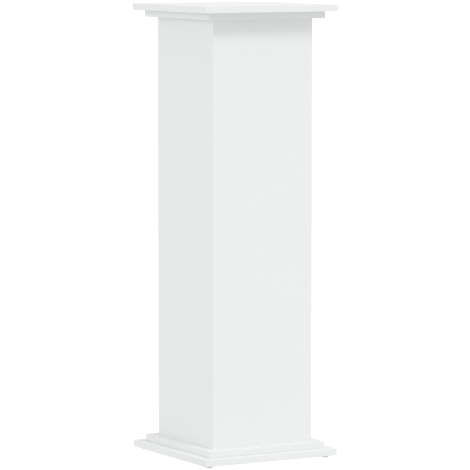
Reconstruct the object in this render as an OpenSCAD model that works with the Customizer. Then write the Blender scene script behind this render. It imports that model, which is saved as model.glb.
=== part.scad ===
// Display plinth: a square, hollow column of faced boards that stands on a two-step
// base and carries the same two steps upside down at its top. The front is at -Y and
// the left side at -X. The origin is on the floor, under the middle of the column, and
// +Z is up. Lengths are millimetres and angles are degrees.

/* [Overall] */
// Height from the floor to the display surface
overall_h = 1000; // [600:10:1300]
// Width of the square column
column_w = 250; // [200:5:320]
// How far each collar stands out past the column
collar_step = 20.5; // [10:0.5:40]
// How far the top board and the base board stand out past their collars
board_step = 20.5; // [10:0.5:40]

/* [Boards] */
// Thickness of every board and panel
board_t = 15; // [12.5:0.5:22]
// Thickness of the edging glued on each visible board edge
edging_t = 1; // [0.4:0.1:2]
// Hairline between edge strips that meet at a corner
edging_seam = 0.05; // [0.02:0.01:0.1]

/* [Glides] */
// Diameter of a glide
glide_d = 15; // [12:0.5:20]
// Height of a glide, which lifts the base board off the floor
glide_h = 5; // [4:0.5:10]
// From an edge of the base board to the middle of a glide
glide_inset = 19; // [12:0.5:40]
// Radius of the rim round a glide's underside
glide_rim_r = 1; // [0.5:0.1:2]
// Depth of the recess that hides the nail's head
glide_recess = 1.8; // [1.4:0.1:2.4]
// Diameter of the nail's shank
nail_d = 1.8; // [1.4:0.1:2.4]
// Diameter of the nail's head
nail_head_d = 4.2; // [3.5:0.1:5]
// Thickness of the nail's head
nail_head_t = 0.8; // [0.6:0.1:1.2]
// How far the nail reaches into the base board
nail_bite = 11; // [8:0.5:11]

/* [Dowels] */
// Diameter of a dowel
dowel_d = 8; // [6:0.5:9]
// Length of a dowel
dowel_l = 30; // [25:1:40]
// Bevel round a dowel's ends
dowel_bevel = 0.8; // [0.4:0.1:1.2]
// Board left behind a blind hole in its face
face_skin = 4; // [3:0.5:5]
// From a panel's end to its first and last corner dowel
panel_dowel_margin = 80; // [60:5:150]
// Spacing of the two dowels in each side of the inner brace
brace_dowel_spacing = 100; // [60:5:110]

/* [Fixings] */
// Spacing of the two cams or screws in a panel's end
end_fixing_spacing = 120; // [80:5:130]
// Diameter of a cam lock
cam_d = 14.8; // [12:0.1:15]
// From the panel's end to the middle of the cam lock
cam_drop = 34; // [24:1:40]
// Board left behind a cam lock's pocket
cam_skin = 2.5; // [2:0.1:3.5]
// Diameter of a cam bolt's body
bolt_d = 7; // [6:0.1:7.4]
// Diameter of the end of a cam bolt that is screwed into the collar
bolt_thread_d = 5; // [4:0.1:6]
// Diameter of a cam bolt's neck
bolt_neck_d = 4; // [3:0.1:4.4]
// Diameter of a cam bolt's head
bolt_head_d = 6.4; // [5:0.1:6.6]
// Thickness of a cam bolt's head
bolt_head_t = 3; // [2:0.1:3.5]
// Diameter of the small wood screws
screw_d = 4; // [3:0.1:5]
// Diameter of a small wood screw's head
screw_head_d = 8; // [7:0.1:9]
// Board left past the tip of a small wood screw
screw_skin = 5; // [4:0.5:8]
// Spacing of the screws between the top collar and the top board
top_screw_spacing = 140; // [80:5:150]
// Spacing of the screws between the base board and the base collar
base_screw_spacing = 140; // [80:5:150]
// Diameter of a connector screw's shoulder, in the two base boards
connector_d = 7; // [6:0.1:7.5]
// Diameter of a connector screw past its shoulder, in the panel's end
connector_core_d = 5; // [4:0.1:5.5]
// Diameter of a connector screw's head
connector_head_d = 10; // [9:0.1:12]
// How far a connector screw reaches into a panel's end
connector_bite = 39; // [25:1:50]
// Size across the flats of a connector screw's socket
socket_af = 4; // [3:0.5:5]
// Depth of a connector screw's socket
socket_deep = 3.5; // [2.5:0.5:4]
// How far a screw's head lies under the board's face
head_sink = 0.4; // [0.2:0.1:1]
// Width of a driver's cross recess
cross_w = 1.2; // [0.8:0.1:1.6]
// Depth of a driver's cross recess
cross_deep = 2; // [1.5:0.1:2.2]
// Share of a wood screw's shank that its cross recess spans
cross_share = 0.9; // [0.6:0.05:0.95]

/* [Fits] */
// Gap round a dowel, bolt, cam lock, screw or nail in its hole
fit_gap = 0.1; // [0.05:0.01:0.2]
// Gap past the end of a dowel, bolt, screw or nail in its hole
end_gap = 1; // [0.5:0.1:1.5]

/* [Hidden] */
$fn = 64;

// Widths of the two sizes of flat board, and the clear width inside the column
collar_w = column_w + 2 * collar_step;
plate_w = collar_w + 2 * board_step;
inner_w = column_w - 2 * board_t;
// From the column's axis to the middle of a panel's thickness
panel_mid = (column_w - board_t) / 2;

// Levels, from the floor up
base_board_z = glide_h;
base_collar_z = base_board_z + board_t;
panel_z = base_collar_z + board_t;
top_board_z = overall_h - board_t;
top_collar_z = top_board_z - board_t;
panel_h = top_collar_z - panel_z;
middle_z = panel_z + panel_h / 2;
dowel_levels = [panel_z + panel_dowel_margin, middle_z, top_collar_z - panel_dowel_margin];

// A dowel crosses from the end or edge of one board into the face of another
face_hole = board_t - face_skin;
dowel_in_face = face_hole - end_gap;
dowel_in_edge = dowel_l - dowel_in_face;

// Cam lock: depth of its pocket and height of its drum
cam_pocket = board_t - cam_skin;
cam_seat_gap = 0.3;
cam_h = cam_pocket - cam_seat_gap;
// Clearance of the bolt's neck and head inside the drum
cam_slot_gap = 0.4;
// Where the bolt's body ends and its neck starts, below the panel's end
bolt_body_l = cam_drop - cam_d / 2 - end_gap;

screw_l = 2 * board_t - screw_skin - head_sink;
connector_shoulder_l = 2 * board_t - head_sink;
// Length of a screw's pointed tip
tip_l = 3;
// How far a cut runs past the face that it opens
past = 1;
// Angle between the points along the arc of a glide's rim
rim_step = 15;

board_white = [0.93, 0.93, 0.94];
board_core = [0.80, 0.71, 0.58];
edging_white = [0.90, 0.90, 0.91];
glide_grey = [0.62, 0.62, 0.63];
beech = [0.83, 0.68, 0.49];
zinc = [0.62, 0.64, 0.66];
steel = [0.72, 0.73, 0.75];

// ---- Where the fixings go ----

// The corners of a square of the given spacing, at one level
module at_square(spacing, z) {
    for (x = [-1, 1], y = [-1, 1])
        translate([x * spacing / 2, y * spacing / 2, z]) children();
}

// Corner joints: a joint faces +Z, out through the front or the back panel
module at_panel_dowels() {
    for (end = [-1, 1], side = [-1, 1], z = dowel_levels)
        translate([side * panel_mid, end * inner_w / 2, z]) rotate([-end * 90, 0, 0]) children();
}

// Sides of the brace: a joint faces +Z, out through the panel
module at_brace_dowels() {
    for (turn = [0 : 90 : 270], x = [-1, 1])
        rotate([0, 0, turn]) translate([x * brace_dowel_spacing / 2, -inner_w / 2, middle_z])
            rotate([90, 0, 0]) children();
}

// Top ends of the side panels and the back panel: a joint faces up into the collar
module at_top_dowels() {
    for (side = [-1, 1])
        translate([side * panel_mid, 0, top_collar_z]) children();
    for (x = [-1, 1])
        translate([x * end_fixing_spacing / 2, panel_mid, top_collar_z]) children();
}

// Lower ends of the four panels: a joint faces down into the collar
module at_base_dowels() {
    for (turn = [0 : 90 : 270])
        rotate([0, 0, turn]) translate([0, -panel_mid, panel_z]) rotate([180, 0, 0]) children();
}

// Top ends of the side panels, turned so that +X points into the column
module at_cams() {
    for (side = [-1, 1], y = [-1, 1])
        translate([side * panel_mid, y * end_fixing_spacing / 2, top_collar_z])
            rotate([0, 0, side > 0 ? 180 : 0]) children();
}

module at_top_screws() {
    at_square(top_screw_spacing, top_collar_z) children();
}

module at_base_screws() {
    at_square(base_screw_spacing, base_board_z) children();
}

// Under the lower ends of the four panels, two to a panel
module at_column_screws() {
    for (turn = [0 : 90 : 270], x = [-1, 1])
        rotate([0, 0, turn])
            translate([x * end_fixing_spacing / 2, -panel_mid, base_board_z]) children();
}

// One corner of the base board: x and y are -1 or 1
module at_glide(x, y) {
    reach = plate_w / 2 - glide_inset;
    translate([x * reach, y * reach, 0]) children();
}

module at_all_glides() {
    for (x = [-1, 1], y = [-1, 1]) at_glide(x, y) children();
}

// ---- Fixings and the holes that they fit ----

// A cylinder from one height to another
module rod(d, from, to) {
    translate([0, 0, from]) cylinder(d = d, h = to - from);
}

// Two crossed slots, cut down from a face at z = 0
module cross_recess(across) {
    for (turn = [0, 90])
        rotate([0, 0, turn]) translate([-across / 2, -cross_w / 2, -cross_deep])
            cube([across, cross_w, cross_deep + past]);
}

// A dowel across a joint at z = 0, with its short end in the face-bored board above
module dowel() {
    body_r = dowel_d / 2;
    end_r = body_r - dowel_bevel;
    rotate_extrude()
        polygon([[0, -dowel_in_edge], [end_r, -dowel_in_edge],
                 [body_r, dowel_bevel - dowel_in_edge], [body_r, dowel_in_face - dowel_bevel],
                 [end_r, dowel_in_face], [0, dowel_in_face]]);
}

module dowel_hole() {
    rod(dowel_d + 2 * fit_gap, -dowel_in_edge - end_gap, dowel_in_face + end_gap);
}

// A bolt screwed up into the collar, whose head hangs in the middle of the cam lock
module cam_bolt() {
    head_z = -cam_drop - bolt_head_t / 2;
    rod(bolt_thread_d, 0, dowel_in_face);
    rod(bolt_d, -bolt_body_l, 0);
    rod(bolt_neck_d, head_z, -bolt_body_l);
    rod(bolt_head_d, head_z, head_z + bolt_head_t);
}

// The hole for the bolt's screwed end in the collar
module cam_bolt_hole() {
    rod(bolt_thread_d + 2 * fit_gap, -past, face_hole);
}

// The hole for the bolt's body down a side panel's end, as far as the cam lock
module cam_bolt_bore() {
    rod(bolt_d + 2 * fit_gap, -cam_drop, past);
}

// A drum that lies flush in the panel's inner face, open to the bolt's neck and head
module cam_lock() {
    chamber_d = bolt_head_d + 2 * cam_slot_gap;
    chamber_t = bolt_head_t + 2 * cam_slot_gap;
    difference() {
        translate([board_t / 2 - cam_h, 0, -cam_drop]) rotate([0, 90, 0])
            cylinder(d = cam_d, h = cam_h);
        rod(chamber_d, -cam_drop - chamber_t / 2, -cam_drop + chamber_t / 2);
        rod(bolt_neck_d + 2 * cam_slot_gap, -cam_drop, -cam_drop + cam_d);
        translate([board_t / 2, 0, -cam_drop]) rotate([0, 90, 0]) cross_recess(cam_d / 2);
    }
}

module cam_lock_pocket() {
    translate([board_t / 2 - cam_pocket, 0, -cam_drop]) rotate([0, 90, 0])
        cylinder(d = cam_d + 2 * fit_gap, h = cam_pocket + past);
}

// A countersunk wood screw that points up, its head just inside a face at z = 0
module wood_screw() {
    cone_h = (screw_head_d - screw_d) / 2;
    translate([0, 0, head_sink]) difference() {
        union() {
            cylinder(d1 = screw_head_d, d2 = screw_d, h = cone_h);
            rod(screw_d, cone_h, screw_l - tip_l);
            translate([0, 0, screw_l - tip_l]) cylinder(d1 = screw_d, d2 = screw_d / 4, h = tip_l);
        }
        rotate([180, 0, 0]) cross_recess(cross_share * screw_d);
    }
}

module wood_screw_hole() {
    cone_h = (screw_head_d - screw_d) / 2;
    rod(screw_head_d + 2 * fit_gap, -past, head_sink);
    translate([0, 0, head_sink])
        cylinder(d1 = screw_head_d + 2 * fit_gap, d2 = screw_d + 2 * fit_gap, h = cone_h);
    rod(screw_d + 2 * fit_gap, head_sink, head_sink + screw_l + end_gap);
}

// A connector screw that points up through both base boards into a panel's end
module connector_screw() {
    cone_h = (connector_head_d - connector_d) / 2;
    tip_z = connector_shoulder_l + connector_bite;
    translate([0, 0, head_sink]) difference() {
        union() {
            cylinder(d1 = connector_head_d, d2 = connector_d, h = cone_h);
            rod(connector_d, cone_h, connector_shoulder_l);
            rod(connector_core_d, connector_shoulder_l, tip_z - tip_l);
            translate([0, 0, tip_z - tip_l])
                cylinder(d1 = connector_core_d, d2 = connector_core_d / 2, h = tip_l);
        }
        translate([0, 0, -past]) cylinder(d = socket_af / cos(30), h = socket_deep + past, $fn = 6);
    }
}

module connector_screw_hole() {
    cone_h = (connector_head_d - connector_d) / 2;
    tip_z = head_sink + connector_shoulder_l + connector_bite;
    rod(connector_head_d + 2 * fit_gap, -past, head_sink);
    translate([0, 0, head_sink])
        cylinder(d1 = connector_head_d + 2 * fit_gap, d2 = connector_d + 2 * fit_gap, h = cone_h);
    rod(connector_d + 2 * fit_gap, head_sink, head_sink + connector_shoulder_l + end_gap);
    rod(connector_core_d + 2 * fit_gap, head_sink, tip_z + end_gap);
}

// A nail up through a glide, its head seated on the recess's floor
module glide_nail() {
    rod(nail_head_d, glide_recess - nail_head_t, glide_recess);
    rod(nail_d, glide_recess - nail_head_t, glide_h + nail_bite);
}

module glide_nail_hole() {
    rod(nail_d + 2 * fit_gap, 0, glide_h + nail_bite + end_gap);
}

// ---- Boards ----

// A square board that lies flat, less the edging round it
module flat_board(w, z) {
    core_w = w - 2 * edging_t;
    translate([-core_w / 2, -core_w / 2, z]) cube([core_w, core_w, board_t]);
}

// Four strips round a flat board: the front and back ones cover the side ones' ends
module flat_board_edging(w, z) {
    strip_y = w / 2 - edging_t;
    side_l = 2 * (strip_y - edging_seam);
    for (turn = [0, 180]) rotate([0, 0, turn]) {
        translate([-w / 2, strip_y, z]) cube([w, edging_t, board_t]);
        translate([strip_y, -side_l / 2, z]) cube([edging_t, side_l, board_t]);
    }
}

// The front or back panel as it stands at the back, less its two edge strips
module wide_panel() {
    core_w = column_w - 2 * edging_t;
    translate([-core_w / 2, inner_w / 2, panel_z]) cube([core_w, board_t, panel_h]);
}

module wide_panel_edging() {
    for (side = [-1, 1])
        translate([side * (column_w - edging_t) / 2 - edging_t / 2, inner_w / 2, panel_z])
            cube([edging_t, board_t, panel_h]);
}

// A side panel as it stands on the right, between the front and the back panel
module side_panel() {
    difference() {
        translate([inner_w / 2, -inner_w / 2, panel_z]) cube([board_t, inner_w, panel_h]);
        at_panel_dowels() dowel_hole();
        at_brace_dowels() dowel_hole();
        at_top_dowels() dowel_hole();
        at_base_dowels() dowel_hole();
        at_cams() cam_bolt_bore();
        at_cams() cam_lock_pocket();
        at_column_screws() connector_screw_hole();
    }
}

// ---- Sub-parts ----

module top_board() {
    color(board_white) difference() {
        flat_board(plate_w, top_board_z);
        at_top_screws() wood_screw_hole();
    }
}

module top_board_edging() {
    color(edging_white) flat_board_edging(plate_w, top_board_z);
}

module top_collar() {
    color(board_white) difference() {
        flat_board(collar_w, top_collar_z);
        at_top_screws() wood_screw_hole();
        at_top_dowels() dowel_hole();
        at_cams() cam_bolt_hole();
    }
}

module top_collar_edging() {
    color(edging_white) flat_board_edging(collar_w, top_collar_z);
}

module front_panel() {
    color(board_white) difference() {
        rotate([0, 0, 180]) wide_panel();
        at_panel_dowels() dowel_hole();
        at_brace_dowels() dowel_hole();
        at_base_dowels() dowel_hole();
        at_column_screws() connector_screw_hole();
    }
}

module front_panel_edging() {
    color(edging_white) rotate([0, 0, 180]) wide_panel_edging();
}

module back_panel() {
    color(board_white) difference() {
        wide_panel();
        at_panel_dowels() dowel_hole();
        at_brace_dowels() dowel_hole();
        at_top_dowels() dowel_hole();
        at_base_dowels() dowel_hole();
        at_column_screws() connector_screw_hole();
    }
}

module back_panel_edging() {
    color(edging_white) wide_panel_edging();
}

module left_panel() {
    color(board_white) rotate([0, 0, 180]) side_panel();
}

module right_panel() {
    color(board_white) side_panel();
}

module inner_brace() {
    color(board_core) difference() {
        translate([-inner_w / 2, -inner_w / 2, middle_z - board_t / 2])
            cube([inner_w, inner_w, board_t]);
        at_brace_dowels() dowel_hole();
    }
}

module base_collar() {
    color(board_white) difference() {
        flat_board(collar_w, base_collar_z);
        at_base_screws() wood_screw_hole();
        at_base_dowels() dowel_hole();
        at_column_screws() connector_screw_hole();
    }
}

module base_collar_edging() {
    color(edging_white) flat_board_edging(collar_w, base_collar_z);
}

module base_board() {
    color(board_white) difference() {
        flat_board(plate_w, base_board_z);
        at_base_screws() wood_screw_hole();
        at_column_screws() connector_screw_hole();
        at_all_glides() glide_nail_hole();
    }
}

module base_board_edging() {
    color(edging_white) flat_board_edging(plate_w, base_board_z);
}

// A round glide with a rounded underside and a recess for the nail's head
module glide() {
    hole_r = nail_d / 2 + fit_gap;
    recess_r = nail_head_d / 2 + fit_gap;
    rim_x = glide_d / 2 - glide_rim_r;
    rim = [for (a = [0 : rim_step : 90])
        [rim_x + glide_rim_r * cos(a), glide_rim_r - glide_rim_r * sin(a)]];
    color(glide_grey) rotate_extrude()
        polygon(concat([[hole_r, glide_h], [glide_d / 2, glide_h]], rim,
                       [[recess_r, 0], [recess_r, glide_recess], [hole_r, glide_recess]]));
}

module front_left_glide() {
    at_glide(-1, -1) glide();
}

module front_right_glide() {
    at_glide(1, -1) glide();
}

module back_left_glide() {
    at_glide(-1, 1) glide();
}

module back_right_glide() {
    at_glide(1, 1) glide();
}

module glide_nails() {
    color(steel) at_all_glides() glide_nail();
}

module panel_dowels() {
    color(beech) at_panel_dowels() dowel();
}

module brace_dowels() {
    color(beech) at_brace_dowels() dowel();
}

module top_dowels() {
    color(beech) at_top_dowels() dowel();
}

module base_dowels() {
    color(beech) at_base_dowels() dowel();
}

module cam_bolts() {
    color(steel) at_cams() cam_bolt();
}

module cam_locks() {
    color(zinc) at_cams() cam_lock();
}

module top_screws() {
    color(steel) at_top_screws() wood_screw();
}

module base_screws() {
    color(steel) at_base_screws() wood_screw();
}

module column_screws() {
    color(steel) at_column_screws() connector_screw();
}

top_board();
top_board_edging();
top_collar();
top_collar_edging();
front_panel();
front_panel_edging();
back_panel();
back_panel_edging();
left_panel();
right_panel();
inner_brace();
base_collar();
base_collar_edging();
base_board();
base_board_edging();
front_left_glide();
front_right_glide();
back_left_glide();
back_right_glide();
glide_nails();
panel_dowels();
brace_dowels();
top_dowels();
base_dowels();
cam_bolts();
cam_locks();
top_screws();
base_screws();
column_screws();
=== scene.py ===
"""Display plinth: edging, fixings, glides, finishes and stage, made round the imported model.

Lengths are metres and angles are radians, except where a property shows another unit. The
plinth's front is at -Y, its left side is at -X, and it stands on the floor at z = 0.
"""

import math
from typing import NamedTuple

import bpy
import numpy as np
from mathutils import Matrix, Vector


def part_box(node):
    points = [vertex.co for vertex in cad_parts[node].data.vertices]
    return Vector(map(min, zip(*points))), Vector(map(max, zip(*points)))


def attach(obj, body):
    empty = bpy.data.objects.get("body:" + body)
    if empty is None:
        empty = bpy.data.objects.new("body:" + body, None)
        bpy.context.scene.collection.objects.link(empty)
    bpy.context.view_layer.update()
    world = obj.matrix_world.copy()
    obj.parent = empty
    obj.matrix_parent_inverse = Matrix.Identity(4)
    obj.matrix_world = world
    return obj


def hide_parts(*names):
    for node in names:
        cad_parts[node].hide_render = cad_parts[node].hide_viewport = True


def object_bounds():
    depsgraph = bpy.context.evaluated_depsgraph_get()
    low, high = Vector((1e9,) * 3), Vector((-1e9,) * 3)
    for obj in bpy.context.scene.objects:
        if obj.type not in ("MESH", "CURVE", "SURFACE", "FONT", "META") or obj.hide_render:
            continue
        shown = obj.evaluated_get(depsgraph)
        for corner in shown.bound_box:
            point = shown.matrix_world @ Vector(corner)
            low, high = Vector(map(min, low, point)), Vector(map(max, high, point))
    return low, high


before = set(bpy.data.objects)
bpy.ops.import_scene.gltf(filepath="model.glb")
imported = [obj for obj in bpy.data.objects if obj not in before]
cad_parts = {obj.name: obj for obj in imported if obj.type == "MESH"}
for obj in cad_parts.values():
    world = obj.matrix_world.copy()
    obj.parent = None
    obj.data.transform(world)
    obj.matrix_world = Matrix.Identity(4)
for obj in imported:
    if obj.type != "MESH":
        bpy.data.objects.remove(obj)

bl_info = {
    "name": "Display Plinth",
    "version": (1, 0, 0),
    "blender": (4, 5, 0),
    "location": "View3D > Sidebar > Plinth",
    "description": "Makes the edging, fixings, glides and finishes of a display plinth",
    "category": "Object",
}

BODY = "root"
MM = 0.001
# The smallest radius that an arris shrinks to
SHARP_R = 0.01 * MM
# Points that agree to this many decimals of a metre are one point
DECIMALS = 6
# Keeps a division away from 0
TINY = 1e-6
# The attribute in which a dowel carries its grain
GRAIN = "grain"
X, Y, Z = 0, 1, 2
RED, GREEN, BLUE = 0, 1, 2
CAD_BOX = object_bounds()
# The Mix node's colour sockets, which share their names with its other kinds
MIX_SHARE, MIX_LOW, MIX_HIGH, MIX_COLOUR = 0, 6, 7, 2
# How many layers of detail a noise has
SMOOTH, FINE, GRITTY = 1, 3, 4

BRACE = "inner_brace"
# Each board, with the axis that its thickness lies along
BOARDS = {
    "top_board": Z,
    "top_collar": Z,
    "front_panel": Y,
    "back_panel": Y,
    "left_panel": X,
    "right_panel": X,
    BRACE: Z,
    "base_collar": Z,
    "base_board": Z,
}
FLAT_EDGINGS = ("top_board_edging", "top_collar_edging", "base_collar_edging", "base_board_edging")
PANEL_EDGINGS = ("front_panel_edging", "back_panel_edging")
GLIDES = ("front_left_glide", "front_right_glide", "back_left_glide", "back_right_glide")
DOWELS = ("panel_dowels", "brace_dowels", "top_dowels", "base_dowels")
WOOD_SCREWS = ("top_screws", "base_screws")


# ---- Shader maths ----


class Wire:
    """A socket that adds a Math node to its tree for each operator used on it."""

    def __init__(self, recipe, socket):
        self.recipe = recipe
        self.socket = socket

    def _math(self, operation, *values):
        return self.recipe.node("ShaderNodeMath", {"operation": operation}, values)

    def __add__(self, other):
        return self._math("ADD", self, other)

    def __radd__(self, other):
        return self._math("ADD", other, self)

    def __sub__(self, other):
        return self._math("SUBTRACT", self, other)

    def __rsub__(self, other):
        return self._math("SUBTRACT", other, self)

    def __mul__(self, other):
        return self._math("MULTIPLY", self, other)

    def __rmul__(self, other):
        return self._math("MULTIPLY", other, self)

    def __gt__(self, other):
        return self._math("GREATER_THAN", self, other)

    def __abs__(self):
        return self._math("ABSOLUTE", self)


class Recipe:
    """The node tree of a material or a world, and the ways to add to it."""

    def __init__(self, owner, shader="Principled BSDF", place="Object"):
        owner.use_nodes = True
        self.owner = owner
        self.tree = owner.node_tree
        self.shader = self.tree.nodes[shader]
        self.place = self.node("ShaderNodeTexCoord", {}, {}, output=place)

    def node(self, kind, settings, inputs, output=0):
        """Adds a node: its settings first, then its sockets' values or links, by name or in order."""
        made = self.tree.nodes.new(kind)
        for key, value in settings.items():
            setattr(made, key, value)
        named = inputs.items() if isinstance(inputs, dict) else enumerate(inputs)
        for key, value in named:
            self.feed(made.inputs[key], value)
        return Wire(self, made.outputs[output])

    def feed(self, socket, value):
        """Links a wire to a socket, or sets the socket to a value."""
        if isinstance(value, Wire):
            self.tree.links.new(value.socket, socket)
        else:
            socket.default_value = value

    def axis(self, index):
        """One coordinate of the place on the object."""
        return self.node("ShaderNodeSeparateXYZ", {}, [self.place], output=index)

    def part(self, colour, index):
        """How red, green or blue a colour is."""
        return self.node("ShaderNodeSeparateColor", {}, [colour], output=index)

    def stretched(self, scale, place=None):
        """The place on the object, or another, scaled along each axis."""
        return self.node("ShaderNodeMapping", {}, {"Vector": place or self.place, "Scale": scale})

    def noise(self, size, detail, place=None):
        """Noise from 0 to 1 whose features are about the given size across."""
        inputs = {"Vector": place or self.place, "Scale": 1 / size, "Detail": detail}
        return self.node("ShaderNodeTexNoise", {}, inputs)

    def cells(self, size, place):
        """Cells about the given size across, each with its own random colour."""
        return self.node("ShaderNodeTexVoronoi", {}, {"Vector": place, "Scale": 1 / size}, output="Color")

    def between(self, share, low, high):
        """A colour that goes from low to high as the share goes from 0 to 1."""
        inputs = {MIX_SHARE: share, MIX_LOW: low, MIX_HIGH: high}
        return self.node("ShaderNodeMix", {"data_type": "RGBA"}, inputs, output=MIX_COLOUR)

    def bump(self, height):
        """A normal from a height in metres."""
        return self.node("ShaderNodeBump", {}, {"Height": height, "Distance": 1.0, "Strength": 1.0})

    def finish(self, **sockets):
        """Feeds the shader's sockets, whose names are written with underscores."""
        for name, value in sockets.items():
            self.feed(self.shader.inputs[name.replace("_", " ")], value)
        return self.owner


def new_material(name):
    """The recipe of a new material."""
    return Recipe(bpy.data.materials.new(name))


def opaque(colour, scale=1.0):
    """A colour socket's four numbers from a property's three."""
    return (colour[0] * scale, colour[1] * scale, colour[2] * scale, 1.0)


def chips(recipe, axis, look):
    """The colour and relief of pressed wood chips, which lie flat across a board's thickness.

    Large chips are cells squeezed along that axis, each of its own brown. Finer chips are
    cells a third the size, and the dust between them is noise a quarter the size. The relief
    goes from 0 to 1, and is a mix of the large chips' own heights and the dust.
    """
    squeeze = [1.0, 1.0, 1.0]
    squeeze[axis] = look.chip_squeeze
    lying = recipe.stretched(squeeze)
    large = recipe.cells(look.chip_size, lying)
    small = recipe.cells(look.chip_size / 3, lying)
    dust = recipe.noise(look.chip_size / 4, FINE, lying)
    brown = recipe.between(recipe.part(large, RED), opaque(look.chip_dark), opaque(look.chip_light))
    fine = recipe.between(recipe.part(small, GREEN), opaque(look.chip_dark), opaque(look.chip_fine))
    mixed = recipe.between((recipe.part(large, BLUE) > look.chip_large) * look.chip_fleck, brown, fine)
    shade = recipe.between(dust * look.chip_fleck, mixed, opaque(look.chip_fine))
    return shade, recipe.part(large, GREEN) * look.chip_share + dust * (1 - look.chip_share)


def faced_board(name, axis, look, order):
    """White facing on both faces of a board, and bare chips where it is cut or drilled.

    The facing shows where the distance from the board's middle plane, along its thickness,
    is within the facing's own thickness of the face. The whites differ a little from board
    to board, by the sine of the board's place in the order.
    """
    low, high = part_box(name)
    middle = (low[axis] + high[axis]) / 2
    face = (high[axis] - low[axis]) / 2
    recipe = new_material(name)
    faced = abs(recipe.axis(axis) - middle) > face - look.facing_t
    drift = recipe.noise(look.drift_size, SMOOTH)
    pearl = recipe.noise(look.pearl_size, FINE)
    tint = 1.0 + look.board_tint * math.sin(order)
    white = recipe.between(drift, opaque(look.facing, tint * (1 - look.drift)), opaque(look.facing, tint))
    core, relief = chips(recipe, axis, look)
    height = faced * pearl * look.pearl_height + (1 - faced) * relief * look.chip_height
    return recipe.finish(
        Base_Color=recipe.between(faced, core, white),
        Roughness=faced * (look.facing_rough + pearl * look.rough_spread) + (1 - faced) * look.chip_rough,
        Normal=recipe.bump(height),
        IOR=look.facing_ior,
    )


def bare_board(name, axis, look):
    """Board without its facing: sanded chips all over."""
    recipe = new_material(name)
    core, relief = chips(recipe, axis, look)
    return recipe.finish(
        Base_Color=core,
        Roughness=look.chip_rough - relief * look.rough_spread,
        Normal=recipe.bump(relief * look.chip_height * look.sanding),
    )


def white_plastic(name, colour, rough, look):
    """Moulded or rolled plastic: an even colour, with a grain half the size of the facing's pearl."""
    recipe = new_material(name)
    grain = recipe.noise(look.pearl_size / 2, FINE)
    drift = recipe.noise(look.drift_size, SMOOTH)
    return recipe.finish(
        Base_Color=recipe.between(drift, opaque(colour, 1 - look.drift), opaque(colour)),
        Roughness=rough + grain * look.rough_spread,
        Normal=recipe.bump(grain * look.pearl_height),
        IOR=look.facing_ior,
    )


def plated_steel(name, look):
    """Bright zinc plating, with faint clouds of colour and scuffs in its gloss."""
    recipe = new_material(name)
    cloud = recipe.noise(look.cloud_size, FINE)
    scuff = recipe.noise(look.scuff_size, GRITTY)
    return recipe.finish(
        Base_Color=recipe.between(cloud, opaque(look.plating), opaque(look.plating_blue)),
        Roughness=look.plating_rough + scuff * look.scuff,
        Metallic=1.0,
        Normal=recipe.bump(scuff * look.scuff_height),
    )


def cast_zinc(name, look):
    """Die-cast zinc: dull, grainy and slightly uneven."""
    recipe = new_material(name)
    grain = recipe.noise(look.scuff_size, GRITTY)
    return recipe.finish(
        Base_Color=recipe.between(grain, opaque(look.cast, 1 - look.scuff), opaque(look.cast)),
        Roughness=look.cast_rough + grain * look.scuff,
        Metallic=1.0,
        Normal=recipe.bump(grain * look.cast_height),
    )


def beech(name, look):
    """Beech: long streaks along the grain, which each piece carries, and short dark flecks."""
    recipe = new_material(name)
    lie = recipe.node("ShaderNodeAttribute", {"attribute_name": GRAIN}, {}, output="Vector")
    drawn = recipe.stretched([1, 1, look.grain_stretch], lie)
    streak = recipe.noise(look.grain_size, FINE, drawn)
    fleck = recipe.noise(look.fleck_size, SMOOTH, drawn) > look.fleck_from
    wood = recipe.between(streak, opaque(look.beech_dark), opaque(look.beech_light))
    return recipe.finish(
        Base_Color=recipe.between(fleck * look.fleck, wood, opaque(look.beech_fleck)),
        Roughness=look.beech_rough + streak * look.rough_spread,
        Normal=recipe.bump(streak * look.grain_height),
    )


def finish_node(name, material):
    """Gives a CAD node its material."""
    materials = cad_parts[name].data.materials
    materials.clear()
    materials.append(material)


# ---- Surfaces ----


def solids_of(node):
    """The lowest and highest corners of each separate solid in a CAD node, one row a solid.

    Points in one place are one point. Each triangle gives its three points the lowest of
    their numbers, over and over, until all of a solid's points have the same number.
    """
    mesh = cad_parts[node].data
    points = np.empty(len(mesh.vertices) * 3, np.float32)
    mesh.vertices.foreach_get("co", points)
    corners = np.empty(len(mesh.loops), np.int32)
    mesh.loops.foreach_get("vertex_index", corners)
    places, place_of = np.unique(
        np.round(points.reshape(-1, 3), DECIMALS), axis=0, return_inverse=True
    )
    triangles = place_of.ravel()[corners].reshape(-1, 3)
    number = np.arange(len(places))
    settled = False
    while not settled:
        before = number.copy()
        lowest = np.repeat(number[triangles].min(axis=1), 3)
        np.minimum.at(number, triangles.ravel(), lowest)
        settled = np.array_equal(before, number)
    groups = [places[number == n] for n in np.unique(number)]
    return np.array([(g.min(axis=0), g.max(axis=0)) for g in groups], float)


class Shell(NamedTuple):
    """A closed surface, with its points' normals and grain where they are given.

    Corners lists the points of its faces in turn, and sizes how many each face has.
    """

    points: np.ndarray
    corners: np.ndarray
    sizes: np.ndarray
    normals: np.ndarray = None
    grain: np.ndarray = None


def ring_faces(rows, around):
    """The corners and sizes of faces between rings of points, and a face that closes each end.

    Row r's ring is points r * around to (r + 1) * around - 1, in the right-hand sense about
    the way from the first row to the last.
    """
    row, column = np.meshgrid(np.arange(rows - 1), np.arange(around), indexing="ij")
    here = row * around + column
    beside = row * around + (column + 1) % around
    quads = np.stack([here, beside, beside + around, here + around], axis=-1).ravel()
    start = np.arange(around)[::-1]
    end = np.arange(around) + (rows - 1) * around
    sizes = np.array([4] * here.size + [around, around])
    return np.concatenate([quads, start, end]), sizes


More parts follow.
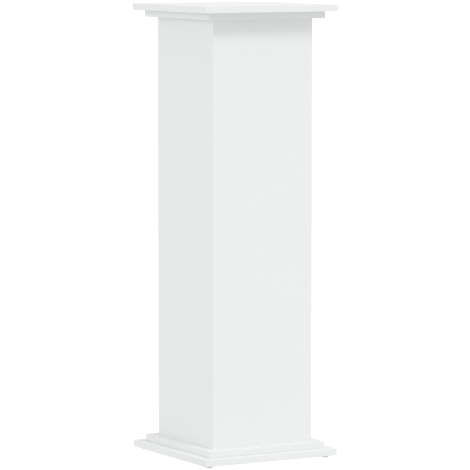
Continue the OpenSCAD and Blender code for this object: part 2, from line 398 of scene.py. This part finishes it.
def loop_faces(rows, around):
    """The corners and sizes of a closed tube's faces, whose last ring is joined to its first."""
    row, column = np.meshgrid(np.arange(rows), np.arange(around), indexing="ij")
    after = (row + 1) % rows
    beside = (column + 1) % around
    corners = [(row, column), (row, beside), (after, beside), (after, column)]
    quads = np.stack([r * around + c for r, c in corners], axis=-1).ravel()
    return quads, np.full(row.size, 4)


def gathered(shells):
    """Several shells of one kind as one."""
    points, corners, sizes, normals, grain = zip(*shells)
    counts = [len(own) for own in points]
    firsts = np.cumsum(counts) - counts
    joined = [own + first for own, first in zip(corners, firsts)]
    return Shell(
        np.vstack(points), np.concatenate(joined), np.concatenate(sizes),
        None if normals[0] is None else np.vstack(normals),
        None if grain[0] is None else np.vstack(grain),
    )


def make_piece(node, suffix, shell, material, crease=None):
    """Puts a shell in a new mesh, as a piece that stands for a CAD node and is named after it."""
    mesh = bpy.data.meshes.new(node + suffix)
    mesh.vertices.add(len(shell.points))
    mesh.vertices.foreach_set("co", shell.points.astype(np.float32).ravel())
    mesh.loops.add(len(shell.corners))
    mesh.loops.foreach_set("vertex_index", shell.corners.astype(np.int32))
    mesh.polygons.add(len(shell.sizes))
    mesh.polygons.foreach_set("loop_start", (np.cumsum(shell.sizes) - shell.sizes).astype(np.int32))
    mesh.update(calc_edges=True)
    mesh.validate()
    mesh.shade_smooth()
    if shell.normals is not None:
        mesh.normals_split_custom_set_from_vertices(shell.normals.tolist())
    if shell.grain is not None:
        grain = mesh.attributes.new(GRAIN, "FLOAT_VECTOR", "POINT")
        grain.data.foreach_set("vector", shell.grain.astype(np.float32).ravel())
    if crease is not None:
        mesh.set_sharp_from_angle(angle=crease)
    mesh.materials.append(material)
    piece = bpy.data.objects.new(mesh.name, mesh)
    bpy.context.scene.collection.objects.link(piece)
    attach(piece, BODY)
    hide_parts(node)


def make_fixings(node, suffix, shape, material, look):
    """Makes one piece of all a node's solids: shape fills each one's box with a shell."""
    shells = [shape(low, high, look) for low, high in solids_of(node)]
    make_piece(node, suffix, gathered(shells), material, look.crease)


# ---- Edging ----


def rounded_strip(size, radii, end_r, steps):
    """A strip along its third axis, with rounded arrises and quarter-round rims at its ends.

    Each corner of its section is an arc of its own radius about a centre that lies that
    radius inside both sides, from the (+, +) corner round. Towards each end the sides move
    in by end_r * (1 - cos a) and the section moves on by end_r * sin a, for a from 0 to a
    right angle, and the corners' radii shrink with the sides.
    """
    half_t, half_s, half_l = size / 2
    bend = np.linspace(0, math.pi / 2, steps)
    lean = np.concatenate([bend[::-1], bend])[:, None, None]
    end = np.repeat([-1, 1], steps)[:, None, None]
    turn = (bend + np.arange(4)[:, None] * math.pi / 2)[None]
    inset = end_r * (1 - np.cos(lean))
    radius = np.maximum(np.array(radii)[None, :, None] - inset, SHARP_R)
    side_t = np.array([1, -1, -1, 1])[None, :, None]
    side_s = np.array([1, 1, -1, -1])[None, :, None]
    grid = (2 * steps, 4, steps)
    points = np.stack([
        side_t * (half_t - inset - radius) + radius * np.cos(turn),
        side_s * (half_s - inset - radius) + radius * np.sin(turn),
        np.broadcast_to(end * (half_l - end_r + end_r * np.sin(lean)), grid),
    ], axis=-1)
    normals = np.stack([
        np.cos(turn) * np.cos(lean),
        np.sin(turn) * np.cos(lean),
        np.broadcast_to(end * np.sin(lean), grid),
    ], axis=-1)
    corners, sizes = ring_faces(2 * steps, 4 * steps)
    return Shell(points.reshape(-1, 3), corners, sizes, normals.reshape(-1, 3))


def laid_strip(low, high, outward, face, look, joint):
    """A rounded strip that fills a box: outward is its thickness axis, face its width axis.

    A strip's two outer arrises are rounded by the edging's radius. Where joint is true, the
    arris on the side nearer the column's middle meets a panel, and is barely eased.
    """
    middle = (high + low) / 2
    order = [outward, face, 3 - outward - face]
    signs = np.ones(3)
    signs[outward] = np.sign(middle[outward])
    signs[face] = np.sign(middle[face]) if joint else 1
    near_r = look.joint_r if joint else look.arris_r
    radii = [look.arris_r, look.inner_r, look.inner_r, near_r]
    strip = rounded_strip((high - low)[order], radii, look.end_r, look.arc_steps)
    points = np.empty_like(strip.points)
    normals = np.empty_like(strip.normals)
    points[:, order] = strip.points * signs[order]
    normals[:, order] = strip.normals * signs[order]
    in_turn = order in ([X, Y, Z], [Y, Z, X], [Z, X, Y])
    way = 1 if in_turn == (signs.prod() > 0) else -1
    return Shell(points + middle, strip.corners[::way], strip.sizes[::way], normals)


# ---- Turned pieces ----


def columns(around):
    """The angles of a turned shape's columns, from +X."""
    return np.arange(around) * 2 * math.pi / around


def turned(rows, around, low, high, axis=Z, faces=ring_faces):
    """A turned shape whose rows, (radius, height), start at a box's low end and go along an axis.

    A point's place is radius * (cos a, sin a) at its height, for equal steps of a. A radius
    is one value, or a ring of them.
    """
    angle = columns(around)
    radius = np.array([np.broadcast_to(r, around) for r, _ in rows])
    height = np.array([np.full(around, h) for _, h in rows])
    points = np.stack([radius * np.cos(angle), radius * np.sin(angle), height], axis=-1)
    foot = (low + high) / 2
    foot[axis] = low[axis]
    laid = np.roll(points.reshape(-1, 3), axis + 1, axis=1) + foot
    return Shell(laid, *faces(len(rows), around))


def arc(radius, height, start, stop, r, steps):
    """Rows on an arc of radius r: (radius + r * cos a, height + r * sin a), a from start to stop."""
    bend = np.radians(np.linspace(start, stop, steps))
    return list(zip(radius + r * np.cos(bend), height + r * np.sin(bend)))


def hexagon(across, around):
    """The radius of a hexagon at each column: half its size across flats over cos a.

    The angle a is measured from the middle of the nearest flat.
    """
    return across / 2 / np.cos((columns(around) + math.pi / 6) % (math.pi / 3) - math.pi / 6)


def cross(reach, half_w, around):
    """The radius of a cross at each column: the nearer of an arm's end and its side.

    From the middle of the nearest arm, at an angle a, they lie at reach / cos a and at
    half_w / sin a.
    """
    lean = np.abs((columns(around) + math.pi / 4) % (math.pi / 2) - math.pi / 4)
    side = half_w / np.maximum(np.sin(lean), TINY)
    return np.minimum(reach / np.cos(lean), side)


def thread_rows(core_r, crest_r, low, high, pitch, around, per_turn):
    """Rows of a screw thread from low to high.

    The radius is core_r plus a ridge that follows height / pitch - angle / full turn. The
    ridge is the square of a cosine, cut off below 0, and it fades in and out over the first
    and last turn.
    """
    steps = int(round((high - low) / pitch * per_turn))
    level = np.linspace(low, high, steps + 1)
    fade = np.clip(np.minimum(level - low, high - level) / pitch, 0, 1)
    phase = (level[:, None] - low) / pitch - columns(around)[None, :] / (2 * math.pi)
    ridge = np.maximum(np.cos(2 * math.pi * phase), 0) ** 2
    radius = core_r + (crest_r - core_r) * fade[:, None] * ridge
    return list(zip(radius, level))


def glide(low, high, look):
    """A thick washer with quarter-round rims, recessed underneath for the nail's head."""
    radius = (high - low)[X] / 2
    height = (high - low)[Z]
    rows = arc(radius - look.rim_r, look.rim_r, -90, 0, look.rim_r, look.arc_steps)
    rows += arc(radius - look.top_r, height - look.top_r, 0, 90, look.top_r, look.arc_steps)
    rows += [
        (look.hole_r, height),
        (look.hole_r, look.recess),
        (look.recess_r, look.recess),
        (look.recess_r, look.mouth),
        (look.recess_r + look.mouth, 0),
    ]
    return turned(rows, look.around, low, high, faces=loop_faces)


def nail(low, high, look):
    """A low domed head, a plain shank and a long point.

    The dome's radius is the head's times sin a, and its height is the bevel times 1 - cos a.
    """
    end = (high - low)[Z]
    bend = np.linspace(0, math.pi / 2, look.dome_steps)[1:]
    rows = list(zip(look.nail_head_r * np.sin(bend), look.bevel * (1 - np.cos(bend))))
    rows += [
        (look.nail_head_r, look.nail_head_t),
        (look.nail_r, look.nail_head_t),
        (look.nail_r, end - look.nail_tip),
        (look.point_r, end),
    ]
    return turned(rows, look.around // 2, low, high)


def dowel(low, high, look):
    """A rod whose radius drops by the flute's depth at every other column.

    Its grain is its points' places, turned so that the third of their numbers lies along it.
    """
    axis = int(np.argmax(high - low))
    radius = (high - low)[axis - 1] / 2
    end = (high - low)[axis]
    fluted = radius - look.flute * (np.arange(look.around) % 2)
    rows = [
        (radius - look.dowel_bevel, 0),
        (fluted, look.dowel_bevel),
        (fluted, end - look.dowel_bevel),
        (radius - look.dowel_bevel, end),
    ]
    rod = turned(rows, look.around, low, high, axis)
    return rod._replace(grain=np.roll(rod.points, -axis - 1, axis=1))


def cam_bolt(low, high, look):
    """A recessed head, a neck, a body and a threaded end, from the foot up."""
    end = (high - low)[Z]
    slot = cross(look.recess_l, look.recess_w, look.around)
    rows = [
        (slot * look.recess_taper, look.recess_deep / 2),
        (slot, 0),
        (look.bolt_head_r - look.bevel, 0),
        (look.bolt_head_r, look.bevel),
        (look.bolt_head_r, look.bolt_head_t - look.bevel),
        (look.bolt_head_r - look.bevel, look.bolt_head_t),
        (look.bolt_neck_r, look.bolt_head_t),
        (look.bolt_neck_r, look.bolt_neck_end),
        (look.bolt_r - look.bevel, look.bolt_neck_end),
        (look.bolt_r, look.bolt_neck_end + look.bevel),
        (look.bolt_r, look.bolt_body_end - look.bevel),
        (look.bolt_r - look.bevel, look.bolt_body_end),
    ]
    rows += thread_rows(
        look.bolt_core_r, look.bolt_crest_r, look.bolt_body_end, end - look.bevel,
        look.bolt_pitch, look.around, look.per_turn,
    )
    rows.append((look.bolt_core_r - look.bevel, end))
    return turned(rows, look.around, low, high)


def wood_screw(low, high, look):
    """A recessed countersunk head, a thread and a point, from the head up."""
    end = (high - low)[Z]
    cone = look.head_r - look.screw_r
    slot = cross(look.recess_l, look.recess_w, look.around)
    rows = [
        (slot * look.recess_taper, look.recess_deep),
        (slot, look.bevel / 2),
        (slot + look.bevel / 2, 0),
        (look.head_r - look.bevel, 0),
        (look.head_r, look.bevel),
        (look.screw_r, cone + look.bevel),
        (look.screw_r, cone + 2 * look.bevel),
    ]
    rows += thread_rows(
        look.screw_core_r, look.screw_r, cone + 3 * look.bevel, end - look.screw_tip,
        look.screw_pitch, look.around, look.per_turn,
    )
    rows.append((look.point_r, end))
    return turned(rows, look.around, low, high)


def connector(low, high, look):
    """A socketed countersunk head, a shoulder, a coarse thread and a blunt point."""
    end = (high - low)[Z]
    around = look.around // 2
    cone = look.connector_head_r - look.connector_r
    socket = hexagon(look.socket_af, around)
    rows = [
        (socket - look.bevel, look.socket_deep),
        (socket, look.socket_deep - look.bevel),
        (socket, look.bevel),
        (socket + look.bevel, 0),
        (look.connector_head_r - look.bevel, 0),
        (look.connector_head_r, look.bevel),
        (look.connector_r, cone + look.bevel),
        (look.connector_r, look.connector_shoulder - look.connector_cone),
        (look.connector_core_r, look.connector_shoulder),
    ]
    rows += thread_rows(
        look.connector_core_r, look.connector_crest_r, look.connector_shoulder + look.bevel,
        end - look.connector_tip, look.connector_pitch, around, look.per_turn,
    )
    rows.append((look.connector_core_r / 2, end))
    return turned(rows, around, low, high)


# ---- Properties ----


def length_prop(name, description, default_mm):
    """A length property, with its default given in millimetres."""
    return bpy.props.FloatProperty(
        name=name, description=description, default=default_mm * MM, subtype="DISTANCE", unit="LENGTH"
    )


def angle_prop(name, description, default_degrees):
    """An angle property, with its default given in degrees."""
    return bpy.props.FloatProperty(
        name=name, description=description, default=math.radians(default_degrees),
        subtype="ANGLE", unit="ROTATION",
    )


def share_prop(name, description, default):
    """A number from 0 to 1."""
    return bpy.props.FloatProperty(
        name=name, description=description, default=default, min=0, max=1, subtype="FACTOR"
    )


def colour_prop(name, description, default):
    """A colour as three linear numbers."""
    return bpy.props.FloatVectorProperty(
        name=name, description=description, default=default, size=3, min=0, max=1, subtype="COLOR"
    )


def number_prop(name, description, default):
    """A plain number."""
    return bpy.props.FloatProperty(name=name, description=description, default=default)


def count_prop(name, description, default):
    """A whole number."""
    return bpy.props.IntProperty(name=name, description=description, default=default, min=1)


class PlinthBoardLook(bpy.types.PropertyGroup):
    """How the faced boards and their edging look."""

    facing: colour_prop("Facing", "Colour of the white facing", (0.818, 0.828, 0.830))
    edging: colour_prop("Edging", "Colour of the plastic edging", (0.818, 0.828, 0.830))
    facing_t: length_prop("Facing thickness", "How deep the white facing goes", 0.2)
    facing_rough: share_prop("Facing roughness", "Roughness of the facing", 0.46)
    edging_rough: share_prop("Edging roughness", "Roughness of the edging", 0.42)
    facing_ior: number_prop("Facing IOR", "Index of refraction of facing and edging", 1.45)
    rough_spread: share_prop("Gloss variation", "How far a finish's roughness varies", 0.08)
    board_tint: share_prop("Board variation", "How far one board's white differs from another's", 0.004)
    drift: share_prop("Cloudiness", "How far the white drifts over a board", 0.008)
    drift_size: length_prop("Cloud size", "Size across of the drift in the white", 120)
    pearl_size: length_prop("Pearl size", "Size across of the facing's fine bumps", 0.9)
    pearl_height: length_prop("Pearl height", "Height of the fine bumps", 0.006)
    chip_size: length_prop("Chip size", "Size across of the chips in the bare board", 3.2)
    chip_squeeze: number_prop("Chip squeeze", "How much thinner than wide the chips lie", 2.4)
    chip_dark: colour_prop("Dark chips", "Colour of the darkest chips", (0.30, 0.19, 0.10))
    chip_light: colour_prop("Light chips", "Colour of the lightest chips", (0.66, 0.49, 0.30))
    chip_fine: colour_prop("Fine chips", "Colour of the dust between the chips", (0.54, 0.39, 0.24))
    chip_fleck: share_prop("Dust", "How much dust shows between the chips", 0.8)
    chip_large: share_prop("Fine chip share", "Share of the board where large chips show", 0.45)
    chip_share: share_prop("Chip relief", "Share of the relief that large chips make", 0.5)
    sanding: share_prop("Sanding", "Share of the relief that sanding leaves", 0.35)
    chip_rough: share_prop("Chip roughness", "Roughness of bare board", 0.9)
    chip_height: length_prop("Chip height", "Height of the chips' relief", 0.15)
    arris_r: length_prop("Arris radius", "Radius of the edging's outer arrises", 0.8)
    joint_r: length_prop("Joint radius", "Radius of the edging's arris at a corner joint", 0.15)
    inner_r: length_prop("Inner radius", "Radius of the arrises against the board", 0.04)
    end_r: length_prop("End radius", "Radius round the ends of an edge strip", 0.3)
    arc_steps: count_prop("Arc points", "Points along each rounded arris", 6)


class PlinthFixingLook(bpy.types.PropertyGroup):
    """Sizes and finishes of the dowels, nails, screws, bolts and cam locks."""

    around: count_prop("Columns", "Points round a fixing", 48)
    per_turn: count_prop("Rows a turn", "Rows of points in one turn of a thread", 12)
    crease: angle_prop("Crease angle", "Sharpest bend that is shaded smooth", 34)
    bevel: length_prop("Bevel", "Small bevel on a fixing's turned edges", 0.2)
    flute: length_prop("Flute depth", "Depth of the flutes down a dowel", 0.22)
    point_r: length_prop("Point", "Radius at which a nail or wood screw ends", 0.15)
    dowel_bevel: length_prop("Dowel bevel", "Bevel round a dowel's ends", 0.8)
    head_r: length_prop("Wood screw head", "Radius of a wood screw's head", 4)
    screw_r: length_prop("Wood screw shank", "Radius of a wood screw over its thread", 2)
    screw_core_r: length_prop("Wood screw core", "Radius of a wood screw under its thread", 1.35)
    screw_pitch: length_prop("Wood screw pitch", "Height of one turn of the thread", 1.8)
    screw_tip: length_prop("Wood screw tip", "Length of a wood screw's point", 4.05)
    recess_l: length_prop("Recess reach", "From a screw's axis to the end of a recess's arm", 1.8)
    recess_w: length_prop("Recess width", "Half the width of a recess's arm", 0.482)
    recess_deep: length_prop("Recess depth", "Depth of a cross recess", 1.9)
    recess_taper: share_prop("Recess taper", "Size of a recess's bottom against its mouth", 0.6)
    connector_head_r: length_prop("Connector head", "Radius of a connector screw's head", 5)
    connector_r: length_prop("Connector shoulder", "Radius of a connector screw's shoulder", 3.5)
    connector_shoulder: length_prop("Shoulder length", "Length of head and shoulder together", 29.6)
    connector_crest_r: length_prop("Connector thread", "Radius over a connector's thread", 2.5)
    connector_core_r: length_prop("Connector core", "Radius under a connector's thread", 1.8)
    connector_pitch: length_prop("Connector pitch", "Height of one turn of the thread", 3)
    connector_cone: length_prop("Shoulder cone", "Length of the shoulder's cone", 0.8)
    connector_tip: length_prop("Connector tip", "Length of a connector's blunt point", 2.7)
    socket_af: length_prop("Socket", "Size across the flats of a connector's socket", 4)
    socket_deep: length_prop("Socket depth", "Depth of a connector's socket", 3.5)
    bolt_head_r: length_prop("Bolt head", "Radius of a cam bolt's head", 3.2)
    bolt_head_t: length_prop("Bolt head thickness", "Thickness of a cam bolt's head", 3)
    bolt_neck_r: length_prop("Bolt neck", "Radius of a cam bolt's neck", 2)
    bolt_neck_end: length_prop("Bolt neck end", "From a bolt's foot to the end of its neck", 9.9)
    bolt_r: length_prop("Bolt body", "Radius of a cam bolt's body", 3.5)
    bolt_body_end: length_prop("Bolt body end", "From a bolt's foot to the end of its body", 35.5)
    bolt_crest_r: length_prop("Bolt thread", "Radius over a cam bolt's thread", 2.5)
    bolt_core_r: length_prop("Bolt core", "Radius under a cam bolt's thread", 1.9)
    bolt_pitch: length_prop("Bolt pitch", "Height of one turn of the thread", 1.6)
    nail_head_r: length_prop("Nail head", "Radius of a nail's head", 2.1)
    nail_head_t: length_prop("Nail head thickness", "Thickness of a nail's head", 0.8)
    nail_r: length_prop("Nail shank", "Radius of a nail's shank", 0.9)
    nail_tip: length_prop("Nail tip", "Length of a nail's point", 2.6)
    dome_steps: count_prop("Dome points", "Points from the middle to the rim of a nail's head", 4)
    plating: colour_prop("Plating", "Colour of the zinc plating", (0.70, 0.71, 0.72))
    plating_blue: colour_prop("Plating, blue", "Colour of the plating's bluer clouds", (0.60, 0.64, 0.70))
    plating_rough: share_prop("Plating roughness", "Roughness of the plating", 0.24)
    cast: colour_prop("Cast zinc", "Colour of the cam locks", (0.50, 0.51, 0.53))
    cast_rough: share_prop("Cast roughness", "Roughness of the cam locks", 0.45)
    cast_height: length_prop("Cast grain", "Height of the casting's grain", 0.05)
    cloud_size: length_prop("Plating cloud size", "Size across of the plating's clouds", 4)
    scuff: share_prop("Scuffs", "How far scuffs change the roughness", 0.16)
    scuff_size: length_prop("Scuff size", "Size across of a scuff", 0.7)
    scuff_height: length_prop("Scuff depth", "Depth of the scuffs", 0.01)
    beech_dark: colour_prop("Beech, dark", "Colour of the beech's darker streaks", (0.52, 0.33, 0.18))
    beech_light: colour_prop("Beech, light", "Colour of the beech's lighter streaks", (0.72, 0.51, 0.32))
    beech_fleck: colour_prop("Beech flecks", "Colour of the short flecks", (0.33, 0.19, 0.10))
    beech_rough: share_prop("Beech roughness", "Roughness of the beech", 0.6)
    rough_spread: share_prop("Gloss variation", "How far the beech's roughness varies", 0.1)
    grain_stretch: number_prop("Grain length", "Share that the grain is squeezed along the wood", 0.08)
    grain_size: length_prop("Grain size", "Size across of the streaks", 0.8)
    grain_height: length_prop("Grain height", "Height of the grain", 0.04)
    fleck: share_prop("Fleck strength", "How dark the flecks are", 0.6)
    fleck_size: length_prop("Fleck size", "Size across of a fleck", 0.35)
    fleck_from: share_prop("Fleck threshold", "Noise above which a fleck shows", 0.64)


class PlinthGlideLook(bpy.types.PropertyGroup):
    """Shape and finish of the four glides."""

    plastic: colour_prop("Plastic", "Colour of the glides", (0.67, 0.67, 0.68))
    rough: share_prop("Roughness", "Roughness of the glides", 0.4)
    rim_r: length_prop("Rim radius", "Radius round a glide's underside", 1.0)
    top_r: length_prop("Top radius", "Radius round a glide's top", 0.3)
    recess_r: length_prop("Recess", "Radius of the recess for the nail's head", 2.2)
    recess: length_prop("Recess depth", "Depth of the recess for the nail's head", 1.8)
    mouth: length_prop("Recess mouth", "Bevel round the recess's mouth", 0.15)
    hole_r: length_prop("Hole", "Radius of the nail's hole", 1.0)
    arc_steps: count_prop("Arc points", "Points along each rounded rim", 7)
    around: count_prop("Columns", "Points round a glide", 64)
    crease: angle_prop("Crease angle", "Sharpest bend that is shaded smooth", 34)


class PlinthStage(bpy.types.PropertyGroup):
    """Camera, lights and floor."""

    lens: bpy.props.FloatProperty(
        name="Lens", description="Focal length on a 36 mm sensor", default=253.9, unit="CAMERA"
    )
    view_azimuth: angle_prop("View azimuth", "Way the camera stands round the plinth", -29.689)
    view_tilt: angle_prop("View tilt", "How far down the camera looks", 5.490)
    view_distance: length_prop("View distance", "From the plinth's axis to the camera", 7315.4)
    view_height: length_prop("View height", "Height of the camera", 1191.6)
    view_side: length_prop("View offset", "How far the camera stands off to its right", 1.2)
    surround_low: number_prop("Surround, low", "Brightness of the surround at the sides", 0.743)
    surround_top: number_prop("Surround, top", "Brightness of the surround overhead", 0.985)
    horizon: number_prop("Horizon", "Brightness of the surround just over the floor's edge", 1.0)
    horizon_from: share_prop("Horizon fade, start", "Rise where the horizon starts to fade", 0.04)
    horizon_to: share_prop("Horizon fade, end", "Rise where the horizon has faded", 0.1)
    floor_size: length_prop("Floor size", "Width of the floor", 240000)
    floor_colour: colour_prop("Floor", "Colour of the floor", (0.08, 0.08, 0.08))
    floor_rough: share_prop("Floor roughness", "Roughness of the floor", 0.9)
    floor_drift: share_prop("Floor cloudiness", "How far the floor's colour drifts", 0.02)
    floor_cloud: length_prop("Floor cloud size", "Size across of the drift in the floor", 400)
    floor_glow: number_prop("Floor glow", "Light that the floor gives the plinth", 0.741)
    floor_white: number_prop("Floor white", "Brightness of the floor in the picture", 1.0)
    key_light: number_prop("Key", "Strength of the key light, in watts a square metre", 0.912)
    key_azimuth: angle_prop("Key azimuth", "Way the key light stands round the plinth", 9)
    key_rise: angle_prop("Key elevation", "How far above the horizon the key stands", 51)
    key_spread: angle_prop("Key spread", "Angle across the key light, which softens its shadows", 17)
    fill_light: number_prop("Fill", "Strength of the fill light, in watts a square metre", 0.412)
    fill_azimuth: angle_prop("Fill azimuth", "Way the fill light stands round the plinth", -90)
    fill_rise: angle_prop("Fill elevation", "How far above the horizon the fill stands", 16)
    fill_spread: angle_prop("Fill spread", "Angle across the fill light", 30)


# ---- Operators ----


class PLINTH_OT_boards(bpy.types.Operator):
    """Finish the boards: white facing on their faces and bare chips where they are cut"""

    bl_idname = "plinth.boards"
    bl_label = "Face the Boards"

    def execute(self, context):
        look = context.scene.plinth_boards
        for order, (name, axis) in enumerate(BOARDS.items()):
            if name == BRACE:
                finish_node(name, bare_board(name, axis, look))
            else:
                finish_node(name, faced_board(name, axis, look, order))
        return {"FINISHED"}


class PLINTH_OT_edging(bpy.types.Operator):
    """Glue on the edging: a strip with rounded arrises along each visible board edge"""

    bl_idname = "plinth.edging"
    bl_label = "Apply the Edging"

    def execute(self, context):
        look = context.scene.plinth_boards
        plastic = white_plastic("edging", look.edging, look.edging_rough, look)
        for node in FLAT_EDGINGS + PANEL_EDGINGS:
            upright = node in PANEL_EDGINGS
            shells = []
            for low, high in solids_of(node):
                outward = X if upright else int(np.argmin(high - low))
                face = Y if upright else Z
                shells.append(laid_strip(low, high, outward, face, look, joint=upright))
            make_piece(node, "_strips", gathered(shells), plastic)
        return {"FINISHED"}


class PLINTH_OT_glides(bpy.types.Operator):
    """Make the four glides and the nail through each"""

    bl_idname = "plinth.glides"
    bl_label = "Nail On the Glides"

    def execute(self, context):
        scene = context.scene
        look = scene.plinth_glides
        fixing = scene.plinth_fixings
        plastic = white_plastic("glide", look.plastic, look.rough, scene.plinth_boards)
        for node in GLIDES:
            make_fixings(node, "_turned", glide, plastic, look)
        steel = plated_steel("nail", fixing)
        make_fixings("glide_nails", "_turned", nail, steel, fixing)
        return {"FINISHED"}


class PLINTH_OT_dowels(bpy.types.Operator):
    """Make the fluted dowels that cross the joints"""

    bl_idname = "plinth.dowels"
    bl_label = "Set the Dowels"

    def execute(self, context):
        look = context.scene.plinth_fixings
        wood = beech("dowel", look)
        for node in DOWELS:
            make_fixings(node, "_fluted", dowel, wood, look)
        return {"FINISHED"}


class PLINTH_OT_cams(bpy.types.Operator):
    """Make the threaded cam bolts and finish the cam locks"""

    bl_idname = "plinth.cams"
    bl_label = "Fit the Cams"

    def execute(self, context):
        look = context.scene.plinth_fixings
        steel = plated_steel("cam_bolt", look)
        make_fixings("cam_bolts", "_threaded", cam_bolt, steel, look)
        finish_node("cam_locks", cast_zinc("cam_lock", look))
        return {"FINISHED"}


class PLINTH_OT_wood_screws(bpy.types.Operator):
    """Make the countersunk wood screws, with cross recesses and real threads"""

    bl_idname = "plinth.wood_screws"
    bl_label = "Drive the Wood Screws"

    def execute(self, context):
        look = context.scene.plinth_fixings
        steel = plated_steel("wood_screw", look)
        for node in WOOD_SCREWS:
            make_fixings(node, "_threaded", wood_screw, steel, look)
        return {"FINISHED"}


class PLINTH_OT_connectors(bpy.types.Operator):
    """Make the long connector screws, with hexagon sockets and coarse threads"""

    bl_idname = "plinth.connectors"
    bl_label = "Drive the Connector Screws"

    def execute(self, context):
        look = context.scene.plinth_fixings
        steel = plated_steel("connector_screw", look)
        make_fixings("column_screws", "_threaded", connector, steel, look)
        return {"FINISHED"}


class PLINTH_OT_stage(bpy.types.Operator):
    """Set the camera, the lights and the pale floor"""

    bl_idname = "plinth.stage"
    bl_label = "Set the Stage"

    def execute(self, context):
        scene = context.scene
        stage = scene.plinth_stage
        scene.view_settings.view_transform = "Standard"
        self.camera(scene, stage)
        self.surround(scene, stage)
        self.floor(scene, stage)
        for name in ("key", "fill"):
            self.lamp(name, scene, stage)
        return {"FINISHED"}

    @staticmethod
    def camera(scene, stage):
        """Stands the camera at its azimuth and height, beside the plinth's axis, and tilts it down."""
        data = bpy.data.cameras.new("camera")
        data.lens = stage.lens
        data.clip_end = 2 * stage.floor_size
        eye = bpy.data.objects.new("camera", data)
        sin_a = math.sin(stage.view_azimuth)
        cos_a = math.cos(stage.view_azimuth)
        eye.location = (
            stage.view_distance * sin_a + stage.view_side * cos_a,
            -stage.view_distance * cos_a + stage.view_side * sin_a,
            stage.view_height,
        )
        eye.rotation_euler = (math.pi / 2 - stage.view_tilt, 0, stage.view_azimuth)
        scene.collection.objects.link(eye)
        scene.camera = eye

    @staticmethod
    def surround(scene, stage):
        """Light from all round: brighter overhead, and white just over the floor's edge.

        Overhead light grows with the square of the rise, which is the sine of the elevation.
        """
        world = bpy.data.worlds.new("surround")
        scene.world = world
        recipe = Recipe(world, shader="Background", place="Generated")
        rise = recipe.axis(Z)
        grey = recipe.between(rise * rise, opaque([stage.surround_low] * 3), opaque([stage.surround_top] * 3))
        near = recipe.node(
            "ShaderNodeMapRange", {"interpolation_type": "SMOOTHSTEP"},
            {
                "Value": rise, "To Min": 1.0, "To Max": 0.0,
                "From Min": stage.horizon_from, "From Max": stage.horizon_to,
            },
        )
        recipe.feed(recipe.shader.inputs["Color"], recipe.between(near, grey, opaque([stage.horizon] * 3)))

    @staticmethod
    def lamp(name, scene, stage):
        """A wide light, so far off that it is as strong at the foot as at the top."""
        data = bpy.data.lights.new(name, "SUN")
        data.energy = getattr(stage, name + "_light")
        data.angle = getattr(stage, name + "_spread")
        light = bpy.data.objects.new(name, data)
        rise = getattr(stage, name + "_rise")
        light.rotation_euler = (math.pi / 2 - rise, 0, getattr(stage, name + "_azimuth"))
        scene.collection.objects.link(light)

    @staticmethod
    def floor(scene, stage):
        """A plain pale floor under the glides: white to the camera, and dimmer to the plinth."""
        half = stage.floor_size / 2
        low = CAD_BOX[0][Z]
        corners = [(-half, -half, low), (half, -half, low), (half, half, low), (-half, half, low)]
        mesh = bpy.data.meshes.new("floor")
        mesh.from_pydata(corners, [], [(0, 1, 2, 3)])
        recipe = new_material("floor")
        cloud = recipe.noise(stage.floor_cloud, SMOOTH)
        dim = opaque(stage.floor_colour, 1 - stage.floor_drift)
        pale = recipe.between(cloud, dim, opaque(stage.floor_colour))
        seen = recipe.node("ShaderNodeLightPath", {}, {}, output="Is Camera Ray")
        glow = recipe.between(seen, opaque([stage.floor_glow] * 3), opaque([stage.floor_white] * 3))
        mesh.materials.append(recipe.finish(
            Base_Color=pale, Roughness=stage.floor_rough, Emission_Color=glow, Emission_Strength=1.0
        ))
        piece = bpy.data.objects.new("floor", mesh)
        scene.collection.objects.link(piece)


STEPS = (
    PLINTH_OT_stage,
    PLINTH_OT_boards,
    PLINTH_OT_edging,
    PLINTH_OT_glides,
    PLINTH_OT_dowels,
    PLINTH_OT_cams,
    PLINTH_OT_wood_screws,
    PLINTH_OT_connectors,
)
LOOKS = {
    "plinth_boards": PlinthBoardLook,
    "plinth_fixings": PlinthFixingLook,
    "plinth_glides": PlinthGlideLook,
    "plinth_stage": PlinthStage,
}


class PLINTH_PT_panel(bpy.types.Panel):
    """The plinth's steps in order, and the colours and sizes that change most"""

    bl_idname = "PLINTH_PT_panel"
    bl_label = "Display Plinth"
    bl_space_type = "VIEW_3D"
    bl_region_type = "UI"
    bl_category = "Plinth"

    def draw(self, context):
        layout = self.layout
        for step in STEPS:
            layout.operator(step.bl_idname)
        boards = context.scene.plinth_boards
        for name in ("facing", "edging", "facing_rough", "arris_r", "pearl_size"):
            layout.prop(boards, name)
        layout.prop(context.scene.plinth_glides, "plastic")
        stage = context.scene.plinth_stage
        for name in ("lens", "surround_low", "surround_top", "key_light", "fill_light", "floor_glow"):
            layout.prop(stage, name)


def register():
    """Adds the classes to Blender, and the looks to its scenes."""
    for made in (*LOOKS.values(), *STEPS, PLINTH_PT_panel):
        bpy.utils.register_class(made)
    for name, group in LOOKS.items():
        setattr(bpy.types.Scene, name, bpy.props.PointerProperty(type=group))


def unregister():
    """Takes away what register added."""
    for name in LOOKS:
        delattr(bpy.types.Scene, name)
    for made in reversed((*LOOKS.values(), *STEPS, PLINTH_PT_panel)):
        bpy.utils.unregister_class(made)


def main():
    """Makes the plinth and its stage."""
    register()
    for step in STEPS:
        group, name = step.bl_idname.split(".")
        getattr(getattr(bpy.ops, group), name)()


if __name__ == "__main__":
    main()
